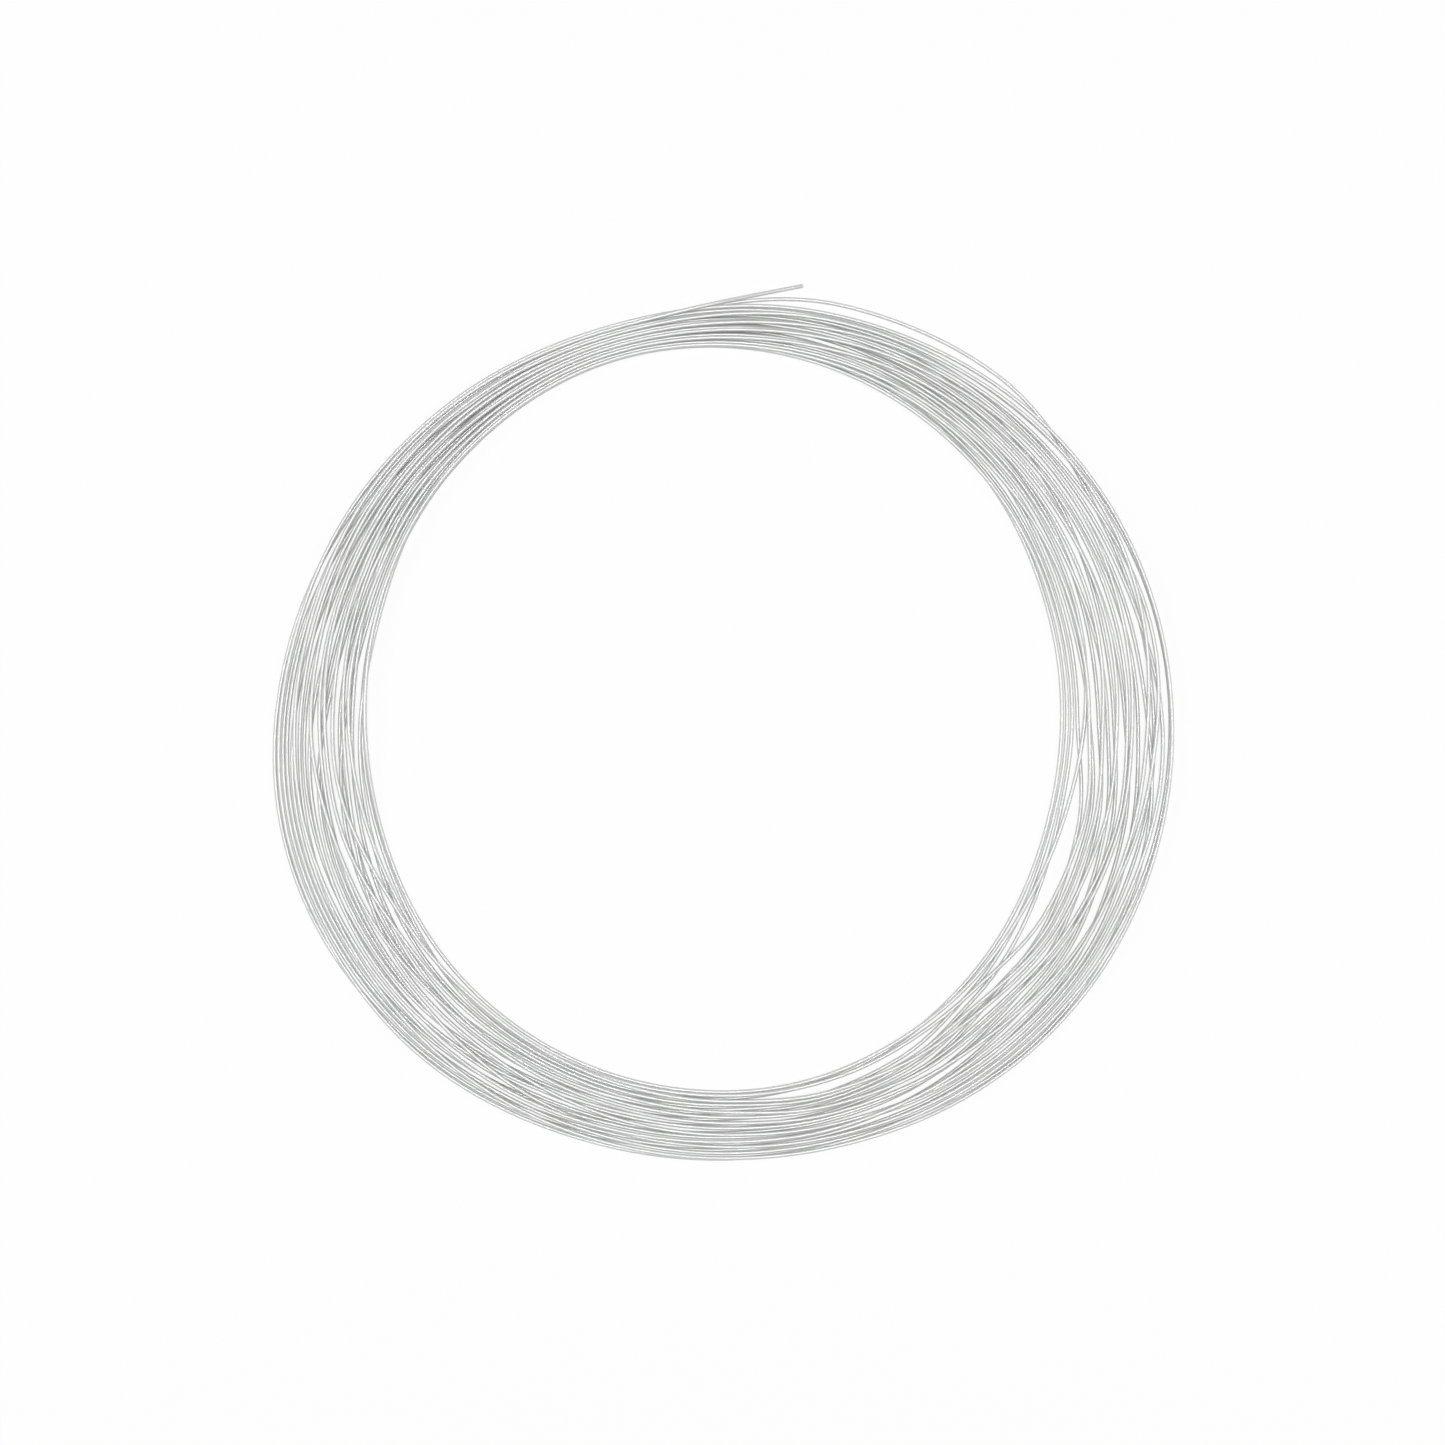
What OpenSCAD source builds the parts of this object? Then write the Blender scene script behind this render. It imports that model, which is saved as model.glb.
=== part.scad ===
// Coil of badminton racket string, lying flat, millimetres, +Z up.
// One unbroken string winds clockwise through four layers, drawn together at a
// narrow waist and spread out elsewhere, and ends in a short straight free end.
// The origin is the middle of the whole outline, on the surface that it lies on.

/* [String] */
// Diameter of the string
cord_d = 0.7; // [0.6:0.01:0.9]
// Clear gap between neighbouring turns, sideways and upwards
turn_gap = 0.42; // [0.41:0.01:0.6]

/* [Coil] */
// Number of loops in the whole coil
loops = 23; // [12:1:24]
// Radius of the open middle, before it is drawn out of round
ring_r = 62; // [50:0.5:80]
// Direction of the narrow waist, in degrees from +X
waist_at = 105; // [0:1:359]
// How far the layers sway across one another, as a share of the free room
sway = 0.8; // [0:0.05:0.95]

/* [Loose loop] */
// How far the first loop stands off the rest beside the waist
stray_out = 2.3; // [0:0.1:6]
// Angle from the waist to the middle of that stretch
stray_at = 43; // [30:1:90]
// Half of the angle that it covers
stray_half = 36; // [15:1:40]

/* [Free end] */
// Length of the straight free end
tail_l = 33; // [20:0.5:60]
// How far the free end bends aside towards its tip
tail_bend = 2.2; // [0:0.1:3]

/* [Hidden] */
string_colour = [0.93, 0.94, 0.92];

layers = 4;
loop_rings = 24;
coil_sides = 6;
tail_sides = 8;
// Part of a loop in which the string climbs to the next layer
climb = 0.5;

// Stations every 30 degrees round the ring, counted from the waist: how far the
// inner edge lies outside ring_r, and how much wider the bundle is than the waist
inner_out = [2.6, 1.3, -1, -1.1, 0.4, 1.2, 1.4, -0.5, -2.8, -2.2, 0.3, 2];
spread = [0, 2.4, 7.6, 11.1, 9, 6, 5.8, 10.6, 13.5, 12.2, 7.6, 2.4];

// Slits that open along the ring: angle from the waist, half of the angle covered,
// place across the bundle from 0 inside to 1 outside, and share of the spread
slits = [
    [238, 34, 0.173, 0.22],
    [187, 20, 0.086, 0.15],
    [60, 30, 0.62, 0.1],
    [290, 30, 0.8, 0.1],
];
slit_soft = 0.03;

// Route of the free end: share of its length run, share of tail_bend moved aside,
// and share of the pile's height still left, because it comes down to the surface
tail_route = [
    [0, 0, 1], [0.06, 0, 1], [0.12, 0.01, 1], [0.18, 0.02, 1], [0.25, 0.05, 0.99],
    [0.31, 0.08, 0.98], [0.38, 0.13, 0.96], [0.44, 0.18, 0.92], [0.5, 0.24, 0.86],
    [0.56, 0.31, 0.78], [0.62, 0.38, 0.67], [0.68, 0.46, 0.54], [0.74, 0.54, 0.4],
    [0.8, 0.64, 0.26], [0.86, 0.74, 0.13], [0.93, 0.87, 0.03], [1, 1, 0],
];

pitch = cord_d + turn_gap;
layer_loops = loops / layers;
waist_w = layer_loops * pitch;
last_ring = loops * loop_rings;
// A faceted cord rests on a flat cut a tenth of its diameter into its lowest facet
floor_z = cord_d / 2 * cos(180 / coil_sides) - cord_d / 10;
top_z = floor_z + (layers - 1) * pitch;
tail_floor_z = cord_d / 2 * cos(180 / tail_sides);

// Smooth step from 0 to 1, and a smooth hump that is 1 in the middle and 0 from -1 and 1 outwards
function clamp01(x) = min(1, max(0, x));
function smooth(x) = let (c = clamp01(x)) c * c * (3 - 2 * c);
function hump(x) = smooth((1 - abs(x)) / 0.7);

// Angle a brought between -180 and 180
function turned(a) = a - 360 * round(a / 360);

// Smooth closed curve through a list's stations, at the angle a from the waist
function around(list, a) =
    let (
        n = len(list),
        x = (a / 360 - floor(a / 360)) * n,
        i = floor(x),
        f = x - i,
        p0 = list[(i + n - 1) % n],
        p1 = list[i % n],
        p2 = list[(i + 1) % n],
        p3 = list[(i + 2) % n]
    )
    p1 + f / 2 * (p2 - p0 + f * (2 * p0 - 5 * p1 + 4 * p2 - p3 + f * (3 * (p1 - p2) + p3 - p0)));

// Angle of the string after t loops: it winds clockwise and ends at the waist
function angle_at(t) = waist_at + 360 * (loops - t);

// Place across the bundle after t loops: a steady spiral in, out, in and out again
function across(t) =
    let (run = t / layer_loops)
    abs(run - 2 * floor(run / 2) - 1);

// Layer after t loops: a climb in the half turn round each reversal
function layer_at(t) =
    let (steps = [for (k = [1 : layers - 1]) smooth((t - k * layer_loops) / climb + 0.5)])
    steps * [for (s = steps) 1];

// Share of the spread at place u across the bundle, at the angle a from the waist. It only
// ever grows with u, so turns in one layer stay at least a pitch apart.
function opened(u, a, layer) =
    let (swayed = u + sway * cos(a + 110 * layer) * sin(360 * u) / 6.3)
    slit(swayed, u, a, 0);
function slit(h, u, a, k) =
    k == len(slits) ? h :
    let (
        share = slits[k][3] * hump(turned(a - slits[k][0]) / slits[k][1]),
        side = smooth((u - slits[k][2]) / (2 * slit_soft) + 0.5)
    )
    slit((1 - share) * h + share * side, u, a, k + 1);

// Radius of the string's centre after t loops
function radius_at(t) =
    let (
        a = angle_at(t) - waist_at,
        u = across(t),
        stray = t < 1 ? stray_out * hump((360 * t - stray_at) / stray_half) : 0
    )
    ring_r + around(inner_out, a) + cord_d / 2
        + waist_w * u + around(spread, a) * opened(u, a, layer_at(t)) + stray;

function outwards(a) = [cos(a), sin(a), 0];
function clockwise(a) = [sin(a), -cos(a), 0];
function centre_at(t) =
    radius_at(t) * outwards(angle_at(t)) + [0, 0, floor_z + pitch * layer_at(t)];

// Centres of the coil's rings, with a straight run of one diameter at both ends
turn_centres = [for (i = [0 : last_ring]) centre_at(i / loop_rings)];
end_dir = clockwise(waist_at);
coil_start = turn_centres[0] - cord_d * end_dir;
coil_end = turn_centres[last_ring] + cord_d * end_dir;
coil_centres = concat([coil_start], turn_centres, [coil_end]);
coil_angles = concat(
    [waist_at],
    [for (i = [0 : last_ring]) angle_at(i / loop_rings)],
    [waist_at]
);

// Centres of the free end's rings, on from the coil's end face
tail_centres = [
    for (p = tail_route)
        coil_end + p[0] * tail_l * end_dir - p[1] * tail_bend * outwards(waist_at)
            - [0, 0, (1 - p[2]) * (top_z - tail_floor_z)]
];

// Direction of a route at point i: straight on at its start
function heading(route, i) =
    let (
        a = route[max(0, i - 1)],
        b = route[min(len(route) - 1, max(1, i + 1))],
        d = i == 0 ? route[1] - route[0] : b - a
    )
    d / norm(d);

// Ring of a tube: vertices turn round its centre, between a side and an up direction,
// with a flat facet below, and none reaches under the surface
function ring(centre, side, up, sides) = [
    for (j = [0 : sides - 1])
        let (
            w = 360 * (j + 0.5) / sides + 90,
            p = centre + cord_d / 2 * (cos(w) * side + sin(w) * up)
        )
        [p.x, p.y, max(0, p.z)]
];

coil_points = [
    for (i = [0 : len(coil_centres) - 1])
        each ring(coil_centres[i], outwards(coil_angles[i]), [0, 0, 1], coil_sides)
];
tail_points = [
    for (i = [0 : len(tail_centres) - 1])
        let (
            along = heading(tail_centres, i),
            flat = cross(along, [0, 0, 1]),
            side = -flat / norm(flat)
        )
        each ring(tail_centres[i], side, cross(along, side), tail_sides)
];

// Triangles of a closed tube of several rings
function tube_faces(rings, sides) = concat(
    [for (j = [1 : sides - 2]) [0, j, j + 1]],
    [
        for (i = [0 : rings - 2], j = [0 : sides - 1])
            let (
                a = i * sides + j,
                b = i * sides + (j + 1) % sides
            )
            each [[a, a + sides, b], [b, a + sides, b + sides]]
    ],
    [
        for (j = [1 : sides - 2])
            let (first = (rings - 1) * sides)
            [first, first + j + 1, first + j]
    ]
);

// Middle of the whole outline, which becomes the origin
outline = concat(coil_points, tail_points);
function middle(list) = (min(list) + max(list)) / 2;
middle_x = middle([for (p = outline) p.x]);
middle_y = middle([for (p = outline) p.y]);

// Least distance between two straight stretches that run side by side, where
// a and b are the steps from one to the other at their two ends
function least(a, b) =
    let (d = b - a)
    norm(a + clamp01(d * d == 0 ? 0 : -(a * d) / (d * d)) * d);
turn_gaps = [
    for (k = [1 : loops - 1], i = [0 : last_ring - 1 - k * loop_rings])
        let (j = i + k * loop_rings)
        least(turn_centres[j] - turn_centres[i], turn_centres[j + 1] - turn_centres[i + 1])
];
steps = [for (i = [1 : last_ring]) norm(turn_centres[i] - turn_centres[i - 1])];
coil_length = steps * [for (s = steps) 1];
echo(str("least gap between turns ", min(turn_gaps) - cord_d, " mm"));
echo(str("string length ", round(coil_length + 2 * cord_d + tail_l), " mm"));

// The wound string, one unbroken tube
module string_coil() {
    color(string_colour)
        translate([-middle_x, -middle_y, 0])
            polyhedron(coil_points, tube_faces(len(coil_centres), coil_sides));
}

// The free end, which meets the coil's end face and comes down to the surface
module string_tail() {
    color(string_colour)
        translate([-middle_x, -middle_y, 0])
            polyhedron(tail_points, tube_faces(len(tail_centres), tail_sides));
}

string_coil();
string_tail();
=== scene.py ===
"""Looks of a coil of badminton racket string: the string, its nylon and a plain studio."""

import logging
import math
from dataclasses import dataclass

import bpy
import numpy as np
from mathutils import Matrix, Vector


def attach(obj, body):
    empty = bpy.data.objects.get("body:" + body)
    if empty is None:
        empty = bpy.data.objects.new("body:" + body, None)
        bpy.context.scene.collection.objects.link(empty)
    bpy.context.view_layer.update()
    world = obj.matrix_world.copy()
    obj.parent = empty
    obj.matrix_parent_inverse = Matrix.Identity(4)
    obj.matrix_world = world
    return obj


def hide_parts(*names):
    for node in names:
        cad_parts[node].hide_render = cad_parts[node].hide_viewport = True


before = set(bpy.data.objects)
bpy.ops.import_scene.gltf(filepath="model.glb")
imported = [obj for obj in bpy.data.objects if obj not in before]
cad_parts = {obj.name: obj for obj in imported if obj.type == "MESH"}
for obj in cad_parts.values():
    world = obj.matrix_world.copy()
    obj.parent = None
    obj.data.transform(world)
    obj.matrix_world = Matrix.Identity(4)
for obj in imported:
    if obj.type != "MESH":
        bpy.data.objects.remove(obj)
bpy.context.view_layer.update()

LOG = logging.getLogger("racket_string")
MM = 0.001

# Part of each half of a hump over which it rises
HUMP_RISE = 0.7


def linear(hex_colour: str) -> tuple[float, float, float, float]:
    """Turn an sRGB hex colour into linear values.

    A value v up to 0.04045 becomes v / 12.92, and a higher one ((v + 0.055) / 1.055) ^ 2.4.

    Args:
        hex_colour: Colour as "#rrggbb".

    Returns:
        Linear red, green and blue, and an alpha of 1.
    """
    values = [int(hex_colour[i : i + 2], 16) / 255 for i in (1, 3, 5)]
    low, slope, offset, power = 0.04045, 12.92, 0.055, 2.4
    red, green, blue = (
        v / slope if v <= low else ((v + offset) / (1 + offset)) ** power for v in values
    )
    return (red, green, blue, 1.0)


def add_node(
    tree: bpy.types.NodeTree,
    kind: str,
    settings: dict[str, object] | None = None,
    values: dict[str | int, object] | None = None,
    links: dict[str | int, bpy.types.NodeSocket] | None = None,
) -> bpy.types.Node:
    """Add one shader node.

    Args:
        tree: Node tree that gets the node.
        kind: Blender's name of the node type.
        settings: Properties of the node.
        values: Default values of its inputs, by name or number.
        links: Sockets that feed its inputs, by name or number.

    Returns:
        The new node.
    """
    node = tree.nodes.new(kind)
    for name, value in (settings or {}).items():
        setattr(node, name, value)
    for name, value in (values or {}).items():
        node.inputs[name].default_value = value
    for name, socket in (links or {}).items():
        tree.links.new(socket, node.inputs[name])
    return node


def new_material(name: str) -> tuple[bpy.types.Material, bpy.types.NodeTree]:
    """Make an empty node material.

    Args:
        name: What the material is.

    Returns:
        The material and its node tree.
    """
    material = bpy.data.materials.new(name)
    material.use_nodes = True
    material.node_tree.nodes.clear()
    return material, material.node_tree


def seen_share(tree: bpy.types.NodeTree, share: float) -> bpy.types.NodeSocket:
    """Give a share where the eye, a gloss or a clear body meets a surface, and 0 for plain light.

    Args:
        tree: Node tree that gets the nodes.
        share: Value for those rays.

    Returns:
        The socket that carries it.
    """
    path = add_node(tree, "ShaderNodeLightPath")
    seen = path.outputs["Is Camera Ray"]
    for ray in ("Is Glossy Ray", "Is Transmission Ray"):
        either = add_node(
            tree, "ShaderNodeMath", {"operation": "MAXIMUM"}, links={0: seen, 1: path.outputs[ray]}
        )
        seen = either.outputs[0]
    part = add_node(tree, "ShaderNodeMath", {"operation": "MULTIPLY"}, {1: share}, {0: seen})
    return part.outputs[0]


def smooth(x: np.ndarray) -> np.ndarray:
    """Smooth step: 3c^2 - 2c^3, where c is x held between 0 and 1."""
    c = np.clip(x, 0.0, 1.0)
    return c * c * (3 - 2 * c)


def hump(x: np.ndarray) -> np.ndarray:
    """Smooth hump: 1 in the middle, and 0 from -1 and 1 outwards."""
    return smooth((1 - np.abs(x)) / HUMP_RISE)


def bell(reach: int) -> np.ndarray:
    """Weights of a rounded moving mean over 2 * reach + 1 points: a cosine bell."""
    weights = np.hanning(2 * reach + 3)[1:-1]
    return weights / weights.sum()


def around(stations: tuple[float, ...], angle: np.ndarray) -> np.ndarray:
    """Closed Catmull-Rom curve through values spaced evenly round the ring.

    Args:
        stations: Values at equal steps of angle, counted from the waist.
        angle: Angles from the waist, in degrees.

    Returns:
        The curve's value at each angle.
    """
    table = np.asarray(stations)
    n = len(table)
    x = (angle / 360 - np.floor(angle / 360)) * n
    i = np.floor(x).astype(int)
    f = x - i
    p0, p1, p2, p3 = (table[(i + k) % n] for k in (n - 1, 0, 1, 2))
    bend = 2 * p0 - 5 * p1 + 4 * p2 - p3
    return p1 + f / 2 * (p2 - p0 + f * (bend + f * (3 * (p1 - p2) + p3 - p0)))


@dataclass(frozen=True)
class Slit:
    """Gap that opens along the ring between the turns.

    Attributes:
        angle: Middle of the slit from the waist, in degrees.
        half: Half of the angle that it covers.
        place: Place across the bundle, from 0 inside to 1 outside.
        share: Part of the bundle's width that it takes.
    """

    angle: float
    half: float
    place: float
    share: float


@dataclass(frozen=True)
class StringRoute:
    """Route of the string's centre line, in millimetres and degrees.

    The string winds clockwise through four layers: its place across the bundle goes steadily
    in, out, in and out again. The bundle is narrow at the waist and spread out elsewhere. The
    turns then settle on each other, and the last stretch leaves the pile as a free end.

    Attributes:
        cord_d: Diameter of the string.
        turn_gap: Gap between neighbouring turns of one layer at the waist.
        loops: Number of loops in the coil.
        layers: Number of layers.
        climb: Part of a loop in which the string climbs to the next layer.
        wait: Part of a loop in which it keeps its place, half way through the winding.
        ring_r: Radius of the open middle, before it is drawn out of round.
        waist_at: Direction of the waist from +X.
        middle: Middle of the whole outline, seen from the ring's centre.
        sway: How far the layers sway across one another, as a share of the spread.
        sway_ease: Divisor of the sway, about 2 pi, so that a sway of 1 keeps the turns' order.
        sway_step: Angle from one layer's sway to the next.
        sway_start: Angle of the lowest layer's sway.
        stray_out: How far the first loop stands off the rest beside the waist.
        stray_at: Angle from the waist to the middle of that stretch.
        stray_half: Half of the angle that it covers.
        tail_l: Length of the free end.
        tail_bend: How far the free end bends inwards towards its tip.
        inner_out: How far the inner edge lies outside ring_r, at even stations from the waist.
        spread: How much wider the bundle is than at the waist, at the same stations.
        slits: Gaps that open along the ring.
        tail_route: Route of the free end: share of its run, share of its bend, and share of the
            drop still left, which passes 1 where it rides over the outer turns.
        loop_points: Points along one loop.
        settle_step: Points that settle at a time.
        settle_reach: Points each way that a support holds up the stiff string.
        even_reach: Distance over which one turn changes places with another.
        edge_reach: Points each way in the means of the bundle's edges and of the even places.
        free_room: Spread from which the turns are quite free to roll aside.
        wander: Wanderings of the single turns: waves in a loop, share of the spread, and start
            in waves.
        wander_edge: Share of the wanderings at the bundle's edges.
        wander_rise: Rise of that share towards the middle, as the factor of u (1 - u).
    """

    cord_d: float = 0.7
    turn_gap: float = 0.31
    loops: int = 23
    layers: int = 4
    climb: float = 0.5
    wait: float = 0.5
    ring_r: float = 62.0
    waist_at: float = 105.0
    middle: tuple[float, float] = (0.986, -0.015)
    sway: float = 0.172
    sway_ease: float = 6.3
    sway_step: float = 131.6
    sway_start: float = 351.9
    stray_out: float = 2.1
    stray_at: float = 43.0
    stray_half: float = 36.0
    tail_l: float = 33.77
    tail_bend: float = 1.17
    inner_out: tuple[float, ...] = (
        2.9, 1.2, -1.3, -1.2, 0.5, 1.5, 1.7, -0.3, -2.7, -2.2, 0.3, 2.2,
    )
    spread: tuple[float, ...] = (
        0, 3.0, 8.1, 10.9, 8.9, 6.2, 6.3, 10.9, 13.6, 12.5, 7.8, 2.9,
    )
    slits: tuple[Slit, ...] = (
        Slit(232, 24, 0.165, 0.115),
        Slit(187, 20, 0.086, 0.08),
    )
    tail_route: tuple[tuple[float, float, float], ...] = (
        (0.06, 0, 1), (0.12, 0.01, 1), (0.18, 0.02, 1.003), (0.25, 0.05, 1.013),
        (0.31, 0.08, 1.033), (0.38, 0.13, 1.047), (0.44, 0.18, 1.036), (0.5, 0.24, 0.988),
        (0.56, 0.31, 0.895), (0.62, 0.38, 0.765), (0.68, 0.46, 0.61), (0.74, 0.54, 0.45),
        (0.8, 0.64, 0.29), (0.86, 0.74, 0.145), (0.93, 0.87, 0.035), (1, 1, 0),
    )
    loop_points: int = 180
    settle_step: int = 30
    settle_reach: int = 6
    even_reach: float = 0.8
    edge_reach: int = 8
    free_room: float = 5.0
    wander: tuple[tuple[float, float, float], ...] = (
        (1.024, 0.444, 0.534), (1.477, 0.07, 0.814), (2.055, 0.061, 0.699),
        (1.897, 0.154, 0.647), (2.897, 0.073, 0.904),
    )
    wander_edge: float = 0.12
    wander_rise: float = 3.5

    @property
    def layer_loops(self) -> float:
        """Loops in one layer."""
        return self.loops / self.layers

    @property
    def last_point(self) -> int:
        """Number of the last point of the coil."""
        return self.loops * self.loop_points

    def across(self, t: np.ndarray) -> np.ndarray:
        """Work out the steady place across the bundle: a triangle wave from 1 to 0 and back.

        It waits half way through the winding, so that each layer at the waist lies in the
        grooves of the one below.

        Args:
            t: Loops wound so far.

        Returns:
            The place of each point, from 0 inside to 1 outside.
        """
        late = np.clip(t - 2 * self.layer_loops, 0, self.wait)
        run = (t - late) / self.layer_loops
        return np.abs(run - 2 * np.floor(run / 2) - 1)

    def layer_at(self, t: np.ndarray) -> np.ndarray:
        """Layer after t loops: the sum of one smooth climb round each reversal."""
        reversals = [k * self.layer_loops for k in range(1, self.layers)]
        return np.sum([smooth((t - turn) / self.climb + 0.5) for turn in reversals], axis=0)

    def swayed(self, t: np.ndarray, a: np.ndarray) -> np.ndarray:
        """Sway each layer aside: u + sway cos(b) sin(2 pi u) / sway_ease at the place u.

        The angle b is that from the waist, turned on from layer to layer.

        Args:
            t: Loops wound so far.
            a: Angle of each point from the waist, in degrees.

        Returns:
            The swayed place of each point across the bundle.
        """
        u = self.across(t)
        turned = np.radians(a + self.sway_step * self.layer_at(t) + self.sway_start)
        return u + self.sway * np.cos(turned) * np.sin(2 * np.pi * u) / self.sway_ease

    def fitted(self, distance: np.ndarray) -> np.ndarray:
        """Fit the turns between the bundle's edges.

        The edges are the moving means of the innermost and outermost turn at each angle.

        Args:
            distance: Distance of each point from the inner edge, in order of winding.

        Returns:
            The place of each point, from 0 at the inner edge to 1 at the outer one.
        """
        turns = distance[:-1].reshape(self.loops, self.loop_points)
        edges = []
        for edge in (turns.min(axis=0), turns.max(axis=0)):
            wrapped = np.pad(edge, self.edge_reach, mode="wrap")
            mean = np.convolve(wrapped, bell(self.edge_reach), "valid")
            edges.append(np.append(np.tile(mean, self.loops), mean[0]))
        inner, outer = edges
        return (distance - inner) / (outer - inner)

    def evened(self, distance: np.ndarray, free: np.ndarray) -> np.ndarray:
        """Even out the turns, as they roll aside when the coil is laid down.

        A turn's even place is the share of the other turns that lie inside it. Another turn
        counts smoothly from 0 to 1 as it passes within half of even_reach on either side, so
        that turns still cross in long sweeps. A turn counts itself as a half, which is taken off.

        Args:
            distance: Distance of each point from the inner edge, in order of winding.
            free: How freely each point may roll, from 0 to 1.

        Returns:
            The place of each point across the bundle, from 0 inside to 1 outside.
        """
        own = self.fitted(distance)
        turns = distance[:-1].reshape(self.loops, self.loop_points)
        inside = smooth((turns[:, None, :] - turns[None, :, :]) / self.even_reach + 0.5)
        place = ((inside.sum(axis=1) - 0.5) / (self.loops - 1)).reshape(-1)
        along = np.pad(place, (self.edge_reach, self.edge_reach + 1), mode="edge")
        even = np.convolve(along, bell(self.edge_reach), "valid")
        return own + free * (even - own)

    def opened(self, v: np.ndarray, a: np.ndarray) -> np.ndarray:
        """Push the turns aside at each slit, to the side on which they pass its middle.

        Args:
            v: Place of each point across the bundle, in order of winding.
            a: Angle of each point from the waist, in degrees.

        Returns:
            The places with the slits open.
        """
        for slit in self.slits:
            turned = a - slit.angle
            turned = turned - 360 * np.round(turned / 360)
            middle = np.arange(len(v)) + np.round(turned / 360 * self.loop_points).astype(int)
            outside = v[np.clip(middle, 0, len(v) - 1)] > slit.place
            v = v + slit.share * hump(turned / slit.half) * (outside - v)
        return v

    def radius(self, t: np.ndarray) -> np.ndarray:
        """Work out the radius: the inner edge, plus the bundle's width times the place in it.

        The place is the swayed one with the turn's wanderings, a sum of sines, then evened out
        and opened at the slits. The first loop strays outwards beside the waist.

        Args:
            t: Loops wound so far.

        Returns:
            The radius of the centre line at each point.
        """
        a = 360 * (self.loops - t)
        u = self.across(t)
        room = around(self.spread, a)
        waist_w = self.layer_loops * (self.cord_d + self.turn_gap)
        held = self.wander_edge + self.wander_rise * u * (1 - u)
        drift = sum(
            share * np.sin(2 * np.pi * (waves * t + start)) for waves, share, start in self.wander
        )
        wandered = room * (self.swayed(t, a) + held * drift)
        place = self.evened(waist_w * u + wandered, smooth(room / self.free_room))
        edge = self.ring_r + around(self.inner_out, a) + self.cord_d / 2
        off_waist = (360 * t - self.stray_at) / self.stray_half
        stray = np.where(t < 1, self.stray_out * hump(off_waist), 0)
        return edge + (waist_w + room) * self.opened(place, a) + stray

    def settle(self, radius: np.ndarray) -> np.ndarray:
        """Lay the turns on each other, in the order of winding.

        A point rests on the surface or on the turns under it: at a sideways distance s from a
        turn of diameter d, it stands sqrt(d^2 - s^2) above it. The string is stiff, so the
        highest support within its reach counts, and a moving mean rounds the humps.

        Args:
            radius: Radius of the centre line at each point.

        Returns:
            The height of each point.
        """
        d, step, reach = self.cord_d, self.settle_step, self.settle_reach
        count = len(radius)
        z = np.full(count + step + 2 * reach, d / 2)
        for start in range(0, count, step):
            low = max(0, start - 2 * reach)
            high = min(count, start + step + 2 * reach)
            index = np.arange(low, high)
            need = np.full(len(index), d / 2)
            for back in range(self.loop_points, high, self.loop_points):
                real = index >= back
                below = np.where(real, index - back, 0)
                side = np.abs(radius[index] - radius[below])
                top = z[below] + np.sqrt(np.maximum(d * d - side * side, 0))
                need = np.where(real & (side < d), np.maximum(need, top), need)
            padded = np.pad(need, reach, mode="edge")
            near = np.lib.stride_tricks.sliding_window_view(padded, 2 * reach + 1)
            held = np.pad(np.max(near, axis=1), reach, mode="edge")
            mean = np.convolve(held, bell(reach), mode="valid")
            stop = min(count, start + step)
            z[start:stop] = mean[start - low : stop - low]
        return z[:count]

    def tail(self, leaves: np.ndarray) -> np.ndarray:
        """Lead the free end straight on from the coil and down to the surface.

        Args:
            leaves: Last point of the coil.

        Returns:
            The points of the free end.
        """
        waist = math.radians(self.waist_at)
        outwards = np.array([math.cos(waist), math.sin(waist), 0])
        onwards = np.array([math.sin(waist), -math.cos(waist), 0])
        run, bend, left = np.array(self.tail_route).T
        aside = np.outer(bend * self.tail_bend, outwards)
        points = leaves + np.outer(run * self.tail_l, onwards) - aside
        points[:, 2] -= (1 - left) * (leaves[2] - self.cord_d / 2)
        return points

    def points(self) -> np.ndarray:
        """Lay out the centre line from the hidden end to the tip of the free end.

        Returns:
            Its points, in metres, seen from the middle of the outline.
        """
        t = np.arange(self.last_point + 1) / self.loop_points
        angle = np.radians(self.waist_at + 360 * (self.loops - t))
        radius = self.radius(t)
        height = self.settle(radius)
        coil = np.column_stack([radius * np.cos(angle), radius * np.sin(angle), height])
        line = np.vstack([coil, self.tail(coil[-1])])
        line[:, :2] -= self.middle
        return line * MM


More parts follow.
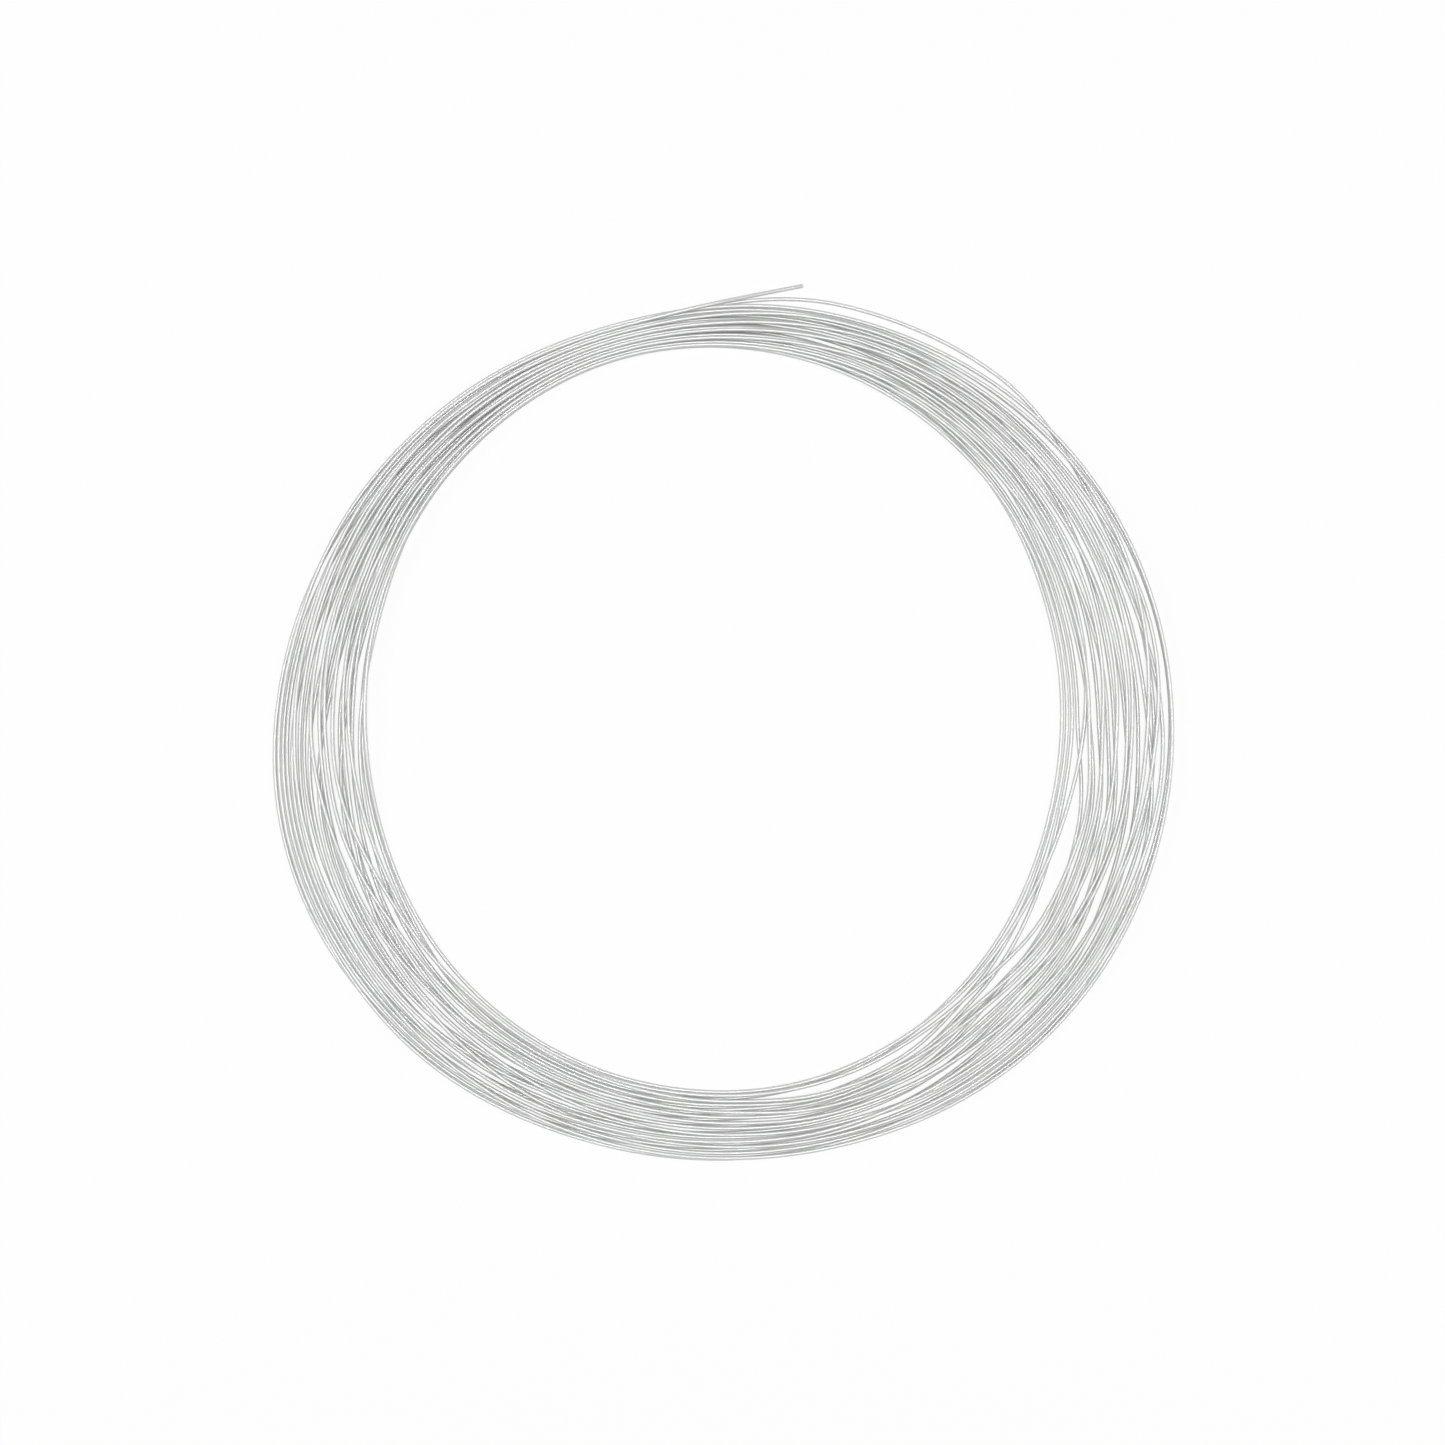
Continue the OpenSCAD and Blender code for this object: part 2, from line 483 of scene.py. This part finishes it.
@dataclass(frozen=True)
class NylonMonofilament:
    """Extruded natural nylon with a satin clear coat, as racket string is made.

    Nylon that isn't dyed is milky and a little cloudy: most of the light goes in, is scattered
    and comes out again, so a single string is pale grey. The coat is satin and thick. It gives a
    broad soft highlight along the string and darker edges, and a faint helix of the windings
    under it breaks the highlight up.

    Attributes:
        name: What the material is.
        body: Colour of the nylon.
        cloud: Colour of its cloudier stretches.
        ior: Index of refraction of nylon.
        roughness: Roughness of the nylon under the coat.
        transmission: Share of the light that passes through.
        coat: Weight of the coat.
        coat_roughness: Roughness of the coat.
        coat_ior: Index of refraction of the coat, high so that the edges darken.
        helix_pitch_mm: Distance between two windings.
        helix_height_mm: Height of a winding.
        cloud_mm: Length of a cloudy stretch.
        cloud_detail: Octaves of finer cloudiness.
        cloud_roughness: Strength of each octave beside the last.
    """

    name: str = "nylon monofilament, natural"
    body: str = "#d3d4d3"
    cloud: str = "#cdcecd"
    ior: float = 1.53
    roughness: float = 0.15
    transmission: float = 0.15
    coat: float = 1.0
    coat_roughness: float = 0.4
    coat_ior: float = 1.7
    # Real wrap filaments are 0.05 mm wide, too fine to show, so the helix is drawn coarser
    helix_pitch_mm: float = 0.9
    helix_height_mm: float = 0.006
    cloud_mm: float = 6.0
    cloud_detail: float = 3.0
    cloud_roughness: float = 0.6

    def material(self) -> bpy.types.Material:
        """Make the material: cloudy nylon under a clear coat, with a helix as bump.

        The helix is sin(2 pi (x / pitch + y)), with x the distance along the string and y the
        share of the way round it.

        Returns:
            The material, which reads the UV map "string".
        """
        material, tree = new_material(self.name)
        place = add_node(tree, "ShaderNodeUVMap", {"uv_map": "string"})
        split = add_node(tree, "ShaderNodeSeparateXYZ", links={"Vector": place.outputs["UV"]})
        cloudy = add_node(
            tree,
            "ShaderNodeTexNoise",
            {"noise_dimensions": "1D"},
            {
                "Scale": 1 / self.cloud_mm,
                "Detail": self.cloud_detail,
                "Roughness": self.cloud_roughness,
            },
            {"W": split.outputs["X"]},
        )
        # A colour mix has its two colours at inputs 6 and 7, and gives theirs at output 2
        colour = add_node(
            tree,
            "ShaderNodeMix",
            {"data_type": "RGBA"},
            {6: linear(self.body), 7: linear(self.cloud)},
            {0: cloudy.outputs["Fac"]},
        )
        turn = add_node(
            tree,
            "ShaderNodeMath",
            {"operation": "MULTIPLY_ADD"},
            {1: 1 / self.helix_pitch_mm},
            {0: split.outputs["X"], 2: split.outputs["Y"]},
        )
        phase = add_node(
            tree,
            "ShaderNodeMath",
            {"operation": "MULTIPLY"},
            {1: 2 * math.pi},
            {0: turn.outputs[0]},
        )
        helix = add_node(
            tree, "ShaderNodeMath", {"operation": "SINE"}, links={0: phase.outputs[0]}
        )
        bump = add_node(
            tree,
            "ShaderNodeBump",
            values={"Strength": 1.0, "Distance": self.helix_height_mm * MM},
            links={"Height": helix.outputs[0]},
        )
        shader = add_node(
            tree,
            "ShaderNodeBsdfPrincipled",
            values={
                "Roughness": self.roughness,
                "IOR": self.ior,
                "Transmission Weight": self.transmission,
                "Coat Weight": self.coat,
                "Coat Roughness": self.coat_roughness,
                "Coat IOR": self.coat_ior,
            },
            links={"Base Color": colour.outputs[2], "Normal": bump.outputs["Normal"]},
        )
        add_node(tree, "ShaderNodeOutputMaterial", links={"Surface": shader.outputs[0]})
        return material


@dataclass(frozen=True)
class WhiteTable:
    """Pressed white laminate with a matt face: plain white to the eye, with a faint shadow.

    Attributes:
        name: What the material is.
        colour: Colour of the laminate in plain light.
        ground: White that the eye meets.
        ground_share: Share of that white, so that the rest keeps the shadow.
    """

    name: str = "white laminate table"
    colour: str = "#f7f7f7"
    ground: str = "#ffffff"
    ground_share: float = 0.8

    def material(self) -> bpy.types.Material:
        """Make the material: matt white, lifted to the white ground where the eye meets it.

        Returns:
            The material.
        """
        material, tree = new_material(self.name)
        matt = add_node(tree, "ShaderNodeBsdfDiffuse", values={"Color": linear(self.colour)})
        white = add_node(
            tree, "ShaderNodeEmission", values={"Color": linear(self.ground), "Strength": 1.0}
        )
        seen = seen_share(tree, self.ground_share)
        mix = add_node(
            tree,
            "ShaderNodeMixShader",
            links={0: seen, 1: matt.outputs[0], 2: white.outputs[0]},
        )
        add_node(tree, "ShaderNodeOutputMaterial", links={"Surface": mix.outputs[0]})
        return material


@dataclass
class RacketString:
    """The string itself: one tube along the route, with two blunt cut ends.

    Attributes:
        route: Route of the centre line.
        finish: Material of the string.
        sides: Number of sides of the tube.
        end_rounding: Rings at a cut end: distance before the face, and inset, in millimetres.
    """

    route: StringRoute = StringRoute()
    finish: NylonMonofilament = NylonMonofilament()
    sides: int = 12
    end_rounding: tuple[tuple[float, float], ...] = ((0.06, 0.0), (0.02, 0.015), (0.0, 0.05))

    def rings(self, line: np.ndarray) -> tuple[np.ndarray, np.ndarray, np.ndarray]:
        """Place the tube's rings on the centre line, with the rounded ends added.

        Args:
            line: Points of the centre line.

        Returns:
            Centres, headings and radii of the rings.
        """
        heading = np.gradient(line, axis=0)
        heading /= np.linalg.norm(heading, axis=1, keepdims=True)
        back, inset = np.array(self.end_rounding).T * MM
        first = line[0] + back[::-1, None] * heading[0]
        last = line[-1] - back[:, None] * heading[-1]
        centres = np.vstack([first, line[1:-1], last])
        ends = len(back)
        headings = np.vstack(
            [np.repeat(heading[:1], ends, 0), heading[1:-1], np.repeat(heading[-1:], ends, 0)]
        )
        radii = np.full(len(centres), self.route.cord_d / 2 * MM)
        radii[:ends] -= inset[::-1]
        radii[-ends:] -= inset
        return centres, headings, radii

    def skin(
        self, centres: np.ndarray, headings: np.ndarray, radii: np.ndarray
    ) -> tuple[np.ndarray, np.ndarray]:
        """Work out the tube's surface, ring by ring.

        A point is c + r (cos w n + sin w b), with c and r the ring's centre and radius, n the
        level direction across the string, b the one that stands on both, and w the angle.

        Args:
            centres: Centres of the rings.
            headings: Directions of the string at them.
            radii: Their radii.

        Returns:
            The vertices, and the four vertices of each face.
        """
        across = np.cross(headings, [0.0, 0.0, 1.0])
        across /= np.linalg.norm(across, axis=1, keepdims=True)
        upwards = np.cross(across, headings)
        n = self.sides
        w = (2 * np.pi * np.arange(n) / n)[:, None]
        turned = np.cos(w) * across[:, None, :] + np.sin(w) * upwards[:, None, :]
        vertices = (centres[:, None, :] + radii[:, None, None] * turned).reshape(-1, 3)
        i = np.arange(len(centres) - 1)[:, None] * n
        j = np.arange(n)[None, :]
        k = (j + 1) % n
        quads = np.stack([i + j, i + n + j, i + n + k, i + k], axis=-1).reshape(-1, 4)
        return vertices, quads

    def unrolled(self, centres: np.ndarray) -> np.ndarray:
        """Unroll the tube: x is the way along it in millimetres, y the share of the way round.

        Args:
            centres: Centres of the rings.

        Returns:
            The x and y of each face's corners in turn, with the two cut faces last.
        """
        n = self.sides
        steps = np.linalg.norm(np.diff(centres, axis=0), axis=1)
        along = np.concatenate([[0], np.cumsum(steps)]) / MM
        low = np.repeat(along[:-1], n)
        high = np.repeat(along[1:], n)
        left = np.tile(np.arange(n) / n, len(centres) - 1)
        right = left + 1 / n
        corners = np.stack([low, left, high, left, high, right, low, right], axis=-1)
        half_round = 0.5
        cut_faces = [np.tile([end, half_round], n) for end in (along[0], along[-1])]
        return np.concatenate([corners.reshape(-1), *cut_faces])

    def build(self) -> bpy.types.Object:
        """Returns:
            The finished piece.
        """
        line = self.route.points()
        centres, headings, radii = self.rings(line)
        vertices, quads = self.skin(centres, headings, radii)
        count, n = len(vertices), self.sides
        cut_faces = [list(range(n)), list(range(count - 1, count - n - 1, -1))]
        mesh = bpy.data.meshes.new("racket_string")
        mesh.from_pydata(vertices.tolist(), [], quads.tolist() + cut_faces)
        mesh.polygons.foreach_set("use_smooth", np.arange(len(mesh.polygons)) < len(quads))
        uv = mesh.uv_layers.new(name="string")
        uv.data.foreach_set("uv", self.unrolled(centres))
        mesh.materials.append(self.finish.material())
        mesh.validate()
        piece = bpy.data.objects.new("racket_string", mesh)
        bpy.context.scene.collection.objects.link(piece)
        self.declare(piece)
        return piece

    def declare(self, piece: bpy.types.Object) -> None:
        """Tell the frame what the piece is, and which solids it stands for.

        Args:
            piece: The string.
        """
        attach(piece, "root")
        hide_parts("string_coil", "string_tail")


@dataclass(frozen=True)
class Softbox:
    """One rectangular soft lamp.

    Attributes:
        name: Name of the lamp.
        place: Where it stands, in metres.
        width: Length of its side along X, in metres.
        depth: Length of its other side, in metres.
        level: Share of the plain light that it gives on the table, at which white is white.
    """

    name: str
    place: tuple[float, float, float]
    width: float
    depth: float
    level: float

    @property
    def power(self) -> float:
        """Power in watts: pi^2 R^2 level / cos(slant), for a lamp R away."""
        distance = math.dist(self.place, (0, 0, 0))
        return math.pi**2 * distance**3 * self.level / self.place[2]

    def build(self) -> bpy.types.Object:
        """Add the lamp, turned to the middle of the coil.

        Returns:
            The lamp's object.
        """
        lamp = bpy.data.lights.new(self.name, "AREA")
        lamp.shape = "RECTANGLE"
        lamp.size = self.width
        lamp.size_y = self.depth
        lamp.energy = self.power
        piece = bpy.data.objects.new(self.name, lamp)
        piece.location = self.place
        piece.rotation_euler = (-Vector(self.place)).to_track_quat("-Z", "Y").to_euler()
        bpy.context.scene.collection.objects.link(piece)
        return piece


@dataclass
class Studio:
    """White table, a soft lamp above, one at the left and right, and the camera above.

    Attributes:
        table: Material of the table top.
        table_side: Length of its sides, in metres.
        lamps: The soft lamps.
        sky: Strength of the plain light all round.
        sky_colour: Colour of that light, and of what a gloss shows.
        lens_mm: Focal length of the camera.
        sensor_mm: Width of its sensor.
        clip: Nearest and farthest distance that it shows, in metres.
        frame_width: Width of the picture at the string, in metres.
        frame_middle: Place of the picture's middle, in metres.
        frame_height: Height at which the width holds, in metres.
    """

    table: WhiteTable = WhiteTable()
    table_side: float = 6.0
    lamps: tuple[Softbox, ...] = (
        Softbox("overhead softbox", (0.0, 0.0, 1.5), 0.45, 0.45, 0.66),
        Softbox("left softbox", (-0.62, 0.02, 0.42), 0.3, 0.3, 0.09),
        Softbox("right softbox", (0.62, 0.02, 0.42), 0.3, 0.3, 0.09),
    )
    sky: float = 0.2
    sky_colour: str = "#ffffff"
    lens_mm: float = 85.0
    sensor_mm: float = 36.0
    clip: tuple[float, float] = (0.01, 50.0)
    frame_width: float = 0.25
    frame_middle: tuple[float, float] = (-0.00021, -0.00007)
    frame_height: float = 0.0012

    def camera(self) -> bpy.types.Object:
        """Look straight down, so far off that the frame's width fills the picture.

        Returns:
            The camera's object.
        """
        lens = bpy.data.cameras.new("camera")
        lens.lens = self.lens_mm
        lens.sensor_width = self.sensor_mm
        lens.clip_start, lens.clip_end = self.clip
        piece = bpy.data.objects.new("camera", lens)
        x, y = self.frame_middle
        distance = self.frame_width * self.lens_mm / self.sensor_mm
        piece.location = (x, y, self.frame_height + distance)
        bpy.context.scene.collection.objects.link(piece)
        bpy.context.scene.camera = piece
        return piece

    def floor(self) -> bpy.types.Object:
        """Add the table top, just under the string.

        Returns:
            The table's object.
        """
        half = self.table_side / 2
        corners = [(-half, -half, 0.0), (half, -half, 0.0), (half, half, 0.0), (-half, half, 0.0)]
        mesh = bpy.data.meshes.new("table")
        mesh.from_pydata(corners, [], [(0, 1, 2, 3)])
        mesh.materials.append(self.table.material())
        piece = bpy.data.objects.new("table", mesh)
        bpy.context.scene.collection.objects.link(piece)
        return piece

    def world(self) -> bpy.types.World:
        """Give plain soft light all round, and white where the eye or a gloss meets it.

        Returns:
            The world.
        """
        world = bpy.data.worlds.new("studio")
        world.use_nodes = True
        tree = world.node_tree
        tree.nodes.clear()
        colour = linear(self.sky_colour)
        white, soft = (
            add_node(tree, "ShaderNodeBackground", values={"Color": colour, "Strength": strength})
            for strength in (1.0, self.sky)
        )
        seen = seen_share(tree, 1.0)
        mix = add_node(
            tree,
            "ShaderNodeMixShader",
            links={0: seen, 1: soft.outputs[0], 2: white.outputs[0]},
        )
        add_node(tree, "ShaderNodeOutputWorld", links={"Surface": mix.outputs[0]})
        bpy.context.scene.world = world
        return world

    def build(self) -> list[bpy.types.ID]:
        """Add the camera, the table, the plain sky and the lamps.

        Returns:
            What was added.
        """
        bpy.context.scene.view_settings.view_transform = "Standard"
        added = [self.camera(), self.floor(), self.world()]
        return added + [lamp.build() for lamp in self.lamps]


def main() -> None:
    """Build and dress everything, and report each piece."""
    logging.basicConfig(level=logging.INFO)
    string = RacketString().build()
    LOG.info("%s: %d faces", string.name, len(string.data.polygons))
    for piece in Studio().build():
        LOG.info("%s: in place", piece.name)


if __name__ == "__main__":
    main()
